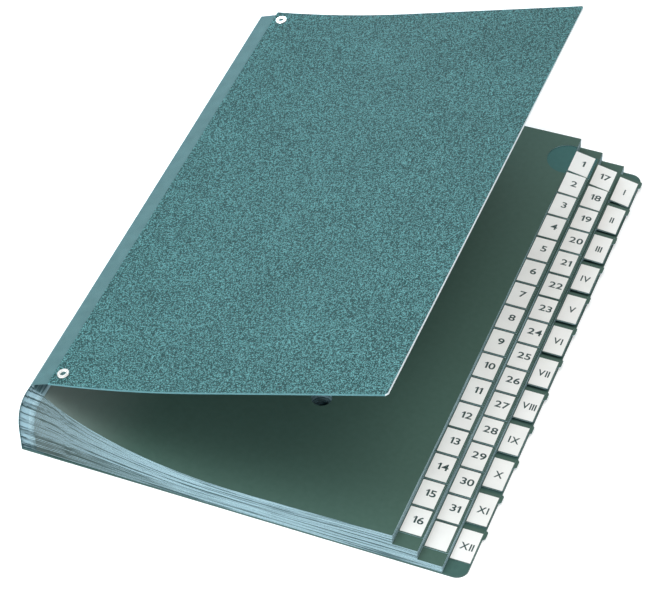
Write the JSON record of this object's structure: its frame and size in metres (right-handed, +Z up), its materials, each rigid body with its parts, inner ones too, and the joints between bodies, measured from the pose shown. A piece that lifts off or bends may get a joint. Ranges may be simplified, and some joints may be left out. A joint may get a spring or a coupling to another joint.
{
  "type": "desk sorter folder",
  "caption": "Desk sorter book: card dividers with stepped index tabs for the days and months, bound in an expanding cloth spine between two boards, with the front cover raised.",
  "frame": {"origin": "centre of the book block on the underside of the back cover, where it rests", "axes": "+X from the spine to the index tabs, +Y from the foot to the head of the sheets, +Z up"},
  "size_m": [0.266, 0.342, 0.1321],
  "materials": {
    "board": "teal covering paper with a fine pebble grain",
    "spine_cloth": "fine bookbinding cloth",
    "pleats": "folded binding paper",
    "card": "smooth dark green card",
    "divider_card": "smooth dark green card with a white label under clear film",
    "nickel": "bright nickel"
  },
  "bodies": {
    "block": {"back_cover": "board", "spine_cloth": "spine_cloth", "spine_gusset": "pleats", "guard_leaf": "card", "divider_day_01": "divider_card", "divider_day_02": "divider_card", "divider_day_03": "divider_card", "divider_day_04": "divider_card", "divider_day_05": "divider_card", "divider_day_06": "divider_card", "divider_day_07": "divider_card", "divider_day_08": "divider_card", "divider_day_09": "divider_card", "divider_day_10": "divider_card", "divider_day_11": "divider_card", "divider_day_12": "divider_card", "divider_day_13": "divider_card", "divider_day_14": "divider_card", "divider_day_15": "divider_card", "divider_day_16": "divider_card", "divider_day_17": "divider_card", "divider_day_18": "divider_card", "divider_day_19": "divider_card", "divider_day_20": "divider_card", "divider_day_21": "divider_card", "divider_day_22": "divider_card", "divider_day_23": "divider_card", "divider_day_24": "divider_card", "divider_day_25": "divider_card", "divider_day_26": "divider_card", "divider_day_27": "divider_card", "divider_day_28": "divider_card", "divider_day_29": "divider_card", "divider_day_30": "divider_card", "divider_day_31": "divider_card", "divider_blank": "divider_card", "divider_month_01": "divider_card", "divider_month_02": "divider_card", "divider_month_03": "divider_card", "divider_month_04": "divider_card", "divider_month_05": "divider_card", "divider_month_06": "divider_card", "divider_month_07": "divider_card", "divider_month_08": "divider_card", "divider_month_09": "divider_card", "divider_month_10": "divider_card", "divider_month_11": "divider_card", "divider_month_12": "divider_card"},
    "cover": {"hinge_strip": "spine_cloth", "front_cover": "board", "eyelet_foot": "nickel", "eyelet_head": "nickel"}
  },
  "joints": [
    {"name": "front_cover_hinge", "type": "hinge", "parent": "block", "child": "cover", "pos_m": [-0.12279, 0, 0.05745], "axis": [0.0123, -0.9999, 0.0062], "range_deg": [-26.5, 165]}
  ]
}
